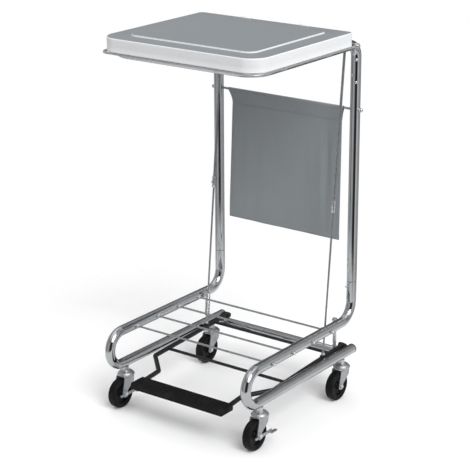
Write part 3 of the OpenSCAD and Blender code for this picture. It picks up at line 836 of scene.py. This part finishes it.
def lid_bump(side, name):
    """A small moulded lug on the lid's rear edge."""
    shape = Shape()
    centre = Vector((side * 88 * MM, LID_CENTRE_Y + LID_HALF_D - 1 * MM, LID_TOP_Z - 1.6 * MM))
    profile = [(-15.0, 3.0), (-14.6, 3.9), (-13.8, 4.4), (13.8, 4.4), (14.6, 3.9), (15.0, 3.0)]
    lathe(shape, centre, Vector((1, 0, 0)), [(a * MM, r * MM) for a, r in profile], 32)
    shape.piece("lid_lug_" + name, [LID_WHITE], "lid", slot="lid_plastic")


def lid_wire():
    """The wire that carries the lid, with an eye at each end round the hinge shaft."""
    x = 227.5 * MM
    front = -437 * MM
    z = 914 * MM
    start = HINGE_Y - 7 * MM
    corners = [Vector((-x, start, z)), Vector((-x, front, z)), Vector((x, front, z)), Vector((x, start, z))]
    shape = Shape()
    sweep(shape, route(corners, [22 * MM, 22 * MM], 0.08), 3 * MM, 20)
    for side in (-1, 1):
        eye = [(-2.5, 4.05), (-2.5, 7.5), (-2.0, 8.0), (2.0, 8.0), (2.5, 7.5), (2.5, 4.05)]
        centre = Vector((side * x, HINGE_Y, HOOP_Z))
        lathe(shape, centre, Vector((1, 0, 0)), [(a * MM, r * MM) for a, r in eye], 32, closed=True)
    shape.piece("lid_wire_bent", [WIRE_SATIN], "lid", ["lid_wire_frame"], "bright_wire")


# ---------- pull rods ----------


def rod_point(side, along):
    """A point on a pull rod's line, at a distance up from the pedal arm."""
    low = Vector((side * ROD_LOW.x, ROD_LOW.y, ROD_LOW.z))
    return low + rod_direction() * along


def rod_direction():
    return (ROD_TOP - ROD_LOW).normalized()


def upper_rod(side, name):
    """The upper rod, bent inwards through its lever."""
    top = Vector((side * ROD_TOP.x, ROD_TOP.y, ROD_TOP.z))
    inward = Vector((-side, 0, 0))
    pin_start = top + inward * 4 * MM
    pin_end = top + inward * 13 * MM
    shape = Shape()
    bend = route([rod_point(side, COUPLER_START), top, pin_start], [3.6 * MM], 0.2)
    radii = [3.25 * MM] * (len(bend) - 1) + [2.6 * MM]
    sweep(shape, bend + [pin_start + inward * 0.3 * MM, pin_end], radii + [2.5 * MM, 2.5 * MM], 24)
    shape.piece("upper_rod_" + name + "_wire", [WIRE_Z], "rods_" + name, ["upper_rod_" + name], "bright_wire")


def lower_rod_right():
    shape = Shape()
    sweep(shape, [rod_point(1, -18 * MM), rod_point(1, 395.9 * MM)], 2.5 * MM, 24)
    shape.piece("lower_rod_right_wire", [WIRE_Z], "rods_right", ["lower_rod_right"], "bright_wire")


def lower_rod_left():
    """The left lower rod, with the eye that the spring hooks into."""
    shape = Shape()
    sweep(shape, [rod_point(-1, 108.5 * MM), rod_point(-1, 395.9 * MM)], 2.5 * MM, 24)
    across_y = rod_direction().cross(Vector((1, 0, 0)))
    ring_of_wire(shape, rod_point(-1, 104 * MM), rod_direction(), across_y, 5.2 * MM, 2.2 * MM)
    shape.piece("lower_rod_left_wire", [WIRE_Z], "rods_left", ["lower_rod_left"], "bright_wire")


def rod_spring():
    """A close-wound tension spring with a hook loop at its upper end."""
    coil_r = 5.2 * MM
    wire_r = 1.3 * MM
    low = 30 * MM
    high = 90 * MM
    turns = 22
    per_turn = 22
    u = Vector((1, 0, 0))
    up = rod_direction()
    v = up.cross(u)
    path = []
    for i in range(turns * per_turn + 1):
        angle = 2 * math.pi * i / per_turn
        along = low + (high - low) * i / (turns * per_turn)
        path.append(rod_point(-1, along) + coil_r * (math.cos(angle) * u + math.sin(angle) * v))
    loop = rod_point(-1, 98 * MM)
    for i in range(27):
        angle = -0.35 + (2 * math.pi - 0.2) * i / 26
        path.append(loop + coil_r * (math.cos(angle) * u + math.sin(angle) * up))
    shape = Shape()
    sweep(shape, path, wire_r, 10, 0.3 * MM)
    shape.piece("rod_spring_coil", [ZINC], "rods_left", ["rod_spring"], "bright_wire", 60)


def spring_spindle():
    """A threaded spindle: the thread is cut as fine grooves."""
    pitch = 0.9 * MM
    profile = [(-18 * MM, 1.9 * MM)]
    along = -17.5 * MM
    while along < 29 * MM:
        profile.append((along, 2.5 * MM))
        profile.append((along + pitch * 0.5, 2.12 * MM))
        along += pitch
    profile += [(30.6 * MM, 2.5 * MM), (31 * MM, 3.8 * MM), (38.5 * MM, 3.8 * MM), (39 * MM, 3.0 * MM)]
    shape = Shape()
    lathe(shape, rod_point(-1, 0), rod_direction(), profile, 20)
    shape.piece("spring_spindle_thread", [WIRE_Z], "rods_left", ["spring_spindle"], "bright_wire", 60)


# ---------- pedal ----------


def pedal_z(y):
    """Height of the arm's centre line at a depth."""
    slope = (PEDAL_PIVOT.z - PEDAL_JOG_REAR.z) / (PEDAL_PIVOT.y - PEDAL_JOG_REAR.y)
    return PEDAL_PIVOT.z - slope * (PEDAL_PIVOT.y - y)


def mirrored(point, side):
    return Vector((side * point.x, point.y, point.z))


def pedal_frame():
    """Both arms and the front bar in one bent rod, two cross rods, the pivot eyes and the rod sleeves."""
    bar_corner = Vector((PEDAL_JOG_FRONT.x, PEDAL_BAR_Y, PEDAL_BAR_Z))
    bar_middle = Vector((0, PEDAL_BAR_Y, PEDAL_BAR_Z))
    right = [PEDAL_PIVOT, PEDAL_JOG_REAR, PEDAL_JOG_FRONT, bar_corner]
    left = [mirrored(p, -1) for p in right]
    bends = [10 * MM, 10 * MM, 9 * MM]
    shape = Shape()
    for pivot, *rest in (left, right):
        start = pivot + (rest[0] - pivot).normalized() * 6 * MM
        sweep(shape, route([start, *rest, bar_middle], bends, 0.15), 6 * MM, 28)
    for y in (-60 * MM, -258 * MM):
        ends = [Vector((s * PEDAL_PIVOT.x, y, pedal_z(y))) for s in (-1, 1)]
        sweep(shape, ends, 4 * MM, 24)
    for side in (-1, 1):
        eye = [(-6.2, 4.15), (-6.2, 7.1), (-5.8, 7.5), (5.8, 7.5), (6.2, 7.1), (6.2, 4.15)]
        axis = Vector((1, 0, 0))
        lathe(shape, mirrored(PEDAL_PIVOT, side), axis, [(a * MM, r * MM) for a, r in eye], 36, closed=True)
        sleeve = [(-6.0, 5.0), (-6.0, 7.4), (-5.4, 8.0), (5.4, 8.0), (6.0, 7.4), (6.0, 5.0)]
        pairs = [(a * MM, r * MM) for a, r in sleeve]
        lathe(shape, rod_point(side, 0), rod_direction(), pairs, 36, closed=True)
    ball = Vector((PEDAL_PIVOT.x, -38 * MM, pedal_z(-38 * MM)))
    profile = [(0.0, 1.8), (7.6, 1.8)]
    for i in range(9):
        angle = -0.8 + (math.pi / 2 + 0.8) * i / 8
        profile.append((10 + 2.8 * math.sin(angle), 2.8 * math.cos(angle)))
    lathe(shape, ball, Vector((0, 0, 1)), [(a * MM, r * MM) for a, r in profile], 24)
    shape.piece("pedal_frame_bent", [POWDER], "pedal", ["pedal_frame"], "black_paint")


def arc(centre_y, centre_z, radius, start, turn, steps):
    """(y, z) pairs along an arc. Angles are in degrees."""
    pairs = []
    for i in range(steps + 1):
        angle = math.radians(start + turn * i / steps)
        pairs.append((centre_y + radius * math.cos(angle), centre_z + radius * math.sin(angle)))
    return pairs


def pad_section():
    """The tread pad's section as (y, z) pairs round the bar, with ribs along its top."""
    corner_y = 22 * MM
    low_z = 83 * MM
    high_z = 93 * MM
    corner_r = 3 * MM
    deck = 96 * MM
    rib_r = 2 * MM
    pitch = 6.6 * MM
    pairs = arc(-corner_y, low_z, corner_r, 180, 90, 5)
    pairs += arc(corner_y, low_z, corner_r, 270, 90, 5)
    pairs += arc(corner_y, high_z, corner_r, 0, 90, 4)
    for rib in range(3, -4, -1):
        pairs += arc(rib * pitch, deck, rib_r, 8, 164, 6)
    pairs += arc(-corner_y, high_z, corner_r, 90, 90, 4)
    return pairs


def pedal_pad():
    half_l = 140 * MM
    shape = Shape()
    rings = []
    centre_z = 88 * MM
    stations = [(-1.0, 0.95), (-0.9972, 0.975), (-0.991, 0.993), (-0.982, 1.0)]
    stations += [(-x, s) for x, s in reversed(stations)]
    for x, size in stations:
        ring = []
        for y, z in pad_section():
            ring.append(Vector((x * half_l, PEDAL_BAR_Y + y * size, centre_z + (z - centre_z) * size)))
        rings.append(shape.ring(ring))
    shape.stack(rings)
    shape.face(reversed(rings[0]))
    shape.face(rings[-1])
    shape.piece("pedal_pad_ribbed", [PAD_RUBBER], "pedal", ["pedal_pad"], "pad_rubber", 50)


# ---------- casters ----------


def fork_edges(z):
    """Front and rear edge of a fork leg at a height, measured from the stem."""
    narrow = 9 * MM
    share = max(0.0, min(1.0, (z - AXLE_Z) / (84 * MM - AXLE_Z)))
    if z < AXLE_Z:
        half = math.sqrt(max(narrow ** 2 - (AXLE_Z - z) ** 2, (1.2 * MM) ** 2))
        return -TRAIL - half, -TRAIL + half
    front = -TRAIL - narrow + share * 12 * MM
    swell = 0.5 - 0.5 * math.cos(math.pi * min(1.0, share * 1.6))
    rear = -TRAIL + narrow + swell * 25 * MM + share * 4 * MM
    return front, rear


def fork(place, name):
    """A pressed fork: one strip bent over the wheel, with its crown and ball race on top."""
    x0, y0 = CASTERS[place]
    leg_x = 13.65 * MM
    bend_r = 5 * MM
    top_z = 82.5 * MM
    half = []
    for i in range(7):
        angle = math.radians(-82 + 82 * i / 6)
        half.append((leg_x, AXLE_Z + 9 * MM * math.sin(angle)))
    for i in range(1, 13):
        half.append((leg_x, AXLE_Z + (top_z - bend_r - AXLE_Z) * i / 12))
    for i in range(1, 6):
        angle = math.pi / 2 * i / 5
        half.append((leg_x - bend_r * (1 - math.cos(angle)), top_z - bend_r * (1 - math.sin(angle))))
    half.append((3 * MM, top_z))
    path = half + [(-x, z) for x, z in reversed(half)]
    columns = 8
    shape = Shape()
    rings = []
    for x, z in path:
        front, rear = fork_edges(z)
        ring = []
        for c in range(columns + 1):
            ring.append(Vector((x0 + x, y0 + front + (rear - front) * c / columns, z)))
        rings.append(shape.ring(ring))
    shape.stack(rings, closed=False)
    strip = shape.piece(name + "_strip", [PRESSING], "swivel_" + place, [name], "zinc_pressing", 40)
    plate = strip.modifiers.new("plate", "SOLIDIFY")
    plate.thickness = 2.5 * MM
    plate.offset = 0
    soften = strip.modifiers.new("soften", "BEVEL")
    soften.width = 0.6 * MM
    soften.segments = 2
    soften.limit_method = "ANGLE"
    soften.angle_limit = math.radians(50)
    apply_modifiers(strip)
    strip.data.shade_smooth()
    strip.data.set_sharp_from_angle(angle=math.radians(45))
    lower_race = [(80.6, 5.3), (80.6, 19.5), (81.4, 21.2), (82.6, 22.0), (84.2, 22.0), (84.8, 21.2)]
    upper_race = [(85.2, 20.6), (85.7, 20.8), (86.4, 20.4), (88.6, 18.2), (89.8, 16.8), (90.4, 14.6)]
    top = [(90.5, 12.8), (90.5, 5.3)]
    profile = [(a * MM, r * MM) for a, r in lower_race + upper_race + top]
    shape = Shape()
    lathe(shape, Vector((x0, y0, 0)), Vector((0, 0, 1)), profile, 56, closed=True)
    shape.piece(name + "_crown", [PRESSING], "swivel_" + place, slot="zinc_pressing")


def wheel(place):
    """A moulded hub with a thin web, and its solid tyre."""
    x0, y0 = CASTERS[place]
    centre = Vector((x0, y0 - TRAIL, AXLE_Z))
    axis = Vector((1, 0, 0))
    boss = [(11.0, 3.15), (11.0, 7.6), (10.6, 8.6), (9.6, 9.0), (4.2, 9.6), (3.2, 10.6)]
    web = [(3.0, 12.0), (3.0, 22.6), (3.6, 24.2)]
    rim = [(4.8, 24.6), (8.4, 24.9), (9.0, 25.6), (9.0, 27.9)]
    half = boss + web + rim
    profile = [(a * MM, r * MM) for a, r in half] + [(-a * MM, r * MM) for a, r in reversed(half)]
    shape = Shape()
    lathe(shape, centre, axis, profile, 64, closed=True)
    body = "wheel_" + place
    shape.piece(body + "_hub", [HUB], body, ["wheel_hub_" + place], "wheel_plastic", 50)
    side = [(8.9, 28.05), (10.2, 28.6), (10.9, 29.8), (11.0, 31.0), (11.0, 33.0)]
    tread = []
    for i in range(9):
        angle = math.pi / 2 * i / 8
        tread.append((6.0 + 5.0 * math.cos(angle), 33.0 + 5.0 * math.sin(angle)))
    half = side + tread[1:]
    profile = [(a * MM, r * MM) for a, r in half] + [(-a * MM, r * MM) for a, r in reversed(half)]
    shape = Shape()
    lathe(shape, centre, axis, profile, 72, closed=True)
    shape.piece(body + "_tyre", [TYRE], body, ["tyre_" + place], "tyre_rubber", 50)


# ---------- floor, light and surroundings ----------

FLOOR_CENTRE = Vector((0, -0.22, 0))
FLOOR_SOLID = 0.62
FLOOR_GONE = 1.25


def make_floor():
    """A pale disc that fades out into the backdrop, so that it has no visible edge."""
    look = Look("floor", (0.9, 0.9, 0.9), 0.8)
    look.tint(look.ramp(look.noise(2, 4), 0.0, 0.3, (0.4, 0.7)), (0.88, 0.88, 0.885))
    look.set("Specular IOR Level", 0.1)
    tree = look.tree
    out = tree.nodes.new("ShaderNodeVectorMath")
    out.operation = "LENGTH"
    look.link(look.place, out.inputs[0])
    clear = tree.nodes.new("ShaderNodeBsdfTransparent")
    fade = tree.nodes.new("ShaderNodeMixShader")
    smooth = tree.nodes.new("ShaderNodeMapRange")
    smooth.interpolation_type = "SMOOTHERSTEP"
    smooth.inputs["From Min"].default_value = FLOOR_SOLID
    smooth.inputs["From Max"].default_value = FLOOR_GONE
    look.link(out.outputs["Value"], smooth.inputs["Value"])
    look.link(smooth.outputs["Result"], fade.inputs["Fac"])
    look.link(look.shader.outputs[0], fade.inputs[1])
    look.link(clear.outputs[0], fade.inputs[2])
    look.link(fade.outputs[0], tree.nodes["Material Output"].inputs["Surface"])
    shape = Shape()
    rim = circle(Vector(), Vector((1, 0, 0)), Vector((0, 1, 0)), FLOOR_GONE, 96)
    shape.face(shape.ring(rim))
    mesh = bpy.data.meshes.new("floor")
    mesh.from_pydata([tuple(p) for p in shape.points], [], shape.faces)
    mesh.materials.append(look.material)
    floor = bpy.data.objects.new("floor", mesh)
    floor.location = FLOOR_CENTRE
    scene.collection.objects.link(floor)


def make_key():
    """The key light: a very soft sun from the right and a little in front."""
    light = bpy.data.lights.new("key", "SUN")
    light.energy = 2.35
    light.angle = math.radians(35)
    obj = bpy.data.objects.new("key", light)
    towards = Vector((1.0, -0.5, 0.95))
    obj.rotation_euler = towards.to_track_quat("Z", "Y").to_euler()
    scene.collection.objects.link(obj)


def level_ramp(tree, source, stops):
    """A grey ColorRamp through (position, level) pairs."""
    node = tree.nodes.new("ShaderNodeValToRGB")
    elements = node.color_ramp.elements
    elements[0].position = stops[0][0]
    elements[1].position = stops[-1][0]
    for position, level in stops[1:-1]:
        elements.new(position)
    for element, (position, level) in zip(elements, stops):
        element.color = (level, level, level * 1.01, 1)
    tree.links.new(source, node.inputs["Fac"])
    return node.outputs["Color"]


def blend_levels(tree, factor, a, b):
    """Colour a where the factor is 0, b where it is 1."""
    node = tree.nodes.new("ShaderNodeMix")
    node.data_type = "RGBA"
    tree.links.new(factor, node.inputs["Factor"])
    tree.links.new(a, node.inputs["A"])
    tree.links.new(b, node.inputs["B"])
    return node.outputs["Result"]


# Brightness of the studio's walls round the trolley, as (share of a full turn, level): soft boxes
# at 0.6 and more, half-lit corners at 0.3 to 0.5, and dark flags below 0.2.
WALLS = [
    (0.0, 0.7), (0.04, 0.6), (0.1, 0.6),
    (0.125, 0.3), (0.15, 0.3),
    (0.18, 0.7), (0.262, 0.62), (0.285, 0.5),
    (0.31, 0.05), (0.432, 0.03),
    (0.458, 0.9), (0.55, 0.85),
    (0.585, 0.35), (0.61, 0.4),
    (0.63, 0.75), (0.685, 0.65),
    (0.71, 0.14), (0.83, 0.12), (0.86, 0.14),
    (0.89, 0.65), (1.0, 0.7),
]
# Brightness above the walls, as (height on the unit sphere, level).
CEILING = [(0.0, 0.2), (0.45, 0.25), (0.62, 0.4), (0.8, 0.9), (0.9, 1.3), (1.0, 1.5)]


def make_surroundings():
    """A studio of tall soft boxes between dark flags, for the chrome to reflect, under a bright ceiling."""
    world = bpy.data.worlds.new("studio")
    world.use_nodes = True
    scene.world = world
    tree = world.node_tree
    place = tree.nodes.new("ShaderNodeTexCoord").outputs["Generated"]
    split = tree.nodes.new("ShaderNodeSeparateXYZ")
    tree.links.new(place, split.inputs[0])
    up = split.outputs["Z"]
    around = tree.nodes.new("ShaderNodeTexGradient")
    around.gradient_type = "RADIAL"
    tree.links.new(place, around.inputs["Vector"])
    walls = level_ramp(tree, around.outputs["Fac"], WALLS)
    above = level_ramp(tree, up, CEILING)
    rise = tree.nodes.new("ShaderNodeMapRange")
    rise.interpolation_type = "SMOOTHSTEP"
    rise.inputs["From Min"].default_value = 0.42
    rise.inputs["From Max"].default_value = 0.62
    tree.links.new(up, rise.inputs["Value"])
    room = blend_levels(tree, rise.outputs["Result"], walls, above)
    backdrop = tree.nodes.new("ShaderNodeRGB")
    backdrop.outputs[0].default_value = (1, 1, 1, 1)
    seen = tree.nodes.new("ShaderNodeLightPath").outputs["Is Camera Ray"]
    color = blend_levels(tree, seen, room, backdrop.outputs[0])
    tree.links.new(color, tree.nodes["Background"].inputs["Color"])


# ---------- the whole ----------

make_camera()
make_floor()
make_surroundings()
make_key()
scene.view_settings.view_transform = "Standard"

for side, node in ((-1, "lower_frame_left"), (1, "lower_frame_right")):
    lower_frame(side, node)
upper_frame()
for which in ("front", "second", "third", "rear"):
    cross_bar("shelf_wire_" + which, "frame")
cross_bar("panel_rod", "frame")
cross_bar("lid_hinge_shaft", "lid")
fabric_panel()
lid_shell()
lid_wire()
for side, name in ((-1, "left"), (1, "right")):
    upper_rod(side, name)
lower_rod_left()
lower_rod_right()
rod_spring()
spring_spindle()
pedal_frame()
pedal_pad()
for place in CASTERS:
    fork(place, "caster_fork_" + place)
    wheel(place)

SMALL_PIECES = [
    ("frame", "chrome_tube", CHROME, ["rear_cross_tube"]),
    ("frame", "black_plastic", PLUG, ["rail_end_plugs"]),
    ("frame", "zinc_fastener", ZINC, ["upright_rivets", "shelf_wire_nuts", "panel_rod_nuts", "damper_stud",
                                      "caster_stems"]),
    ("frame", "black_paint", POWDER, ["pedal_pivot_pins", "pivot_push_nuts"]),
    ("frame", "damper_metal", DAMPER, ["damper_cylinder"]),
    ("damper_rod", "damper_metal", DAMPER, ["damper_plunger"]),
    ("button_left", "zinc_fastener", ZINC, ["snap_button_left"]),
    ("button_right", "zinc_fastener", ZINC, ["snap_button_right"]),
    ("lid", "clip_plastic", CLIP, ["lid_clips"]),
    ("lid", "bright_wire", PRESSING, ["shaft_levers"]),
    ("lid", "zinc_fastener", ZINC, ["shaft_push_nuts"]),
    ("rods_left", "zinc_fastener", ZINC, ["rod_coupler_left", "rod_nuts_left"]),
    ("rods_right", "zinc_fastener", ZINC, ["rod_coupler_right", "rod_nuts_right"]),
    ("brake_left", "zinc_pressing", PRESSING, ["brake_lever_left"]),
    ("brake_right", "zinc_pressing", PRESSING, ["brake_lever_right"]),
]
for place in CASTERS:
    SMALL_PIECES.append(("swivel_" + place, "zinc_fastener", ZINC, ["axle_bolt_" + place]))
for body, slot, material, nodes in SMALL_PIECES:
    for node in nodes:
        refined(node, body, material)
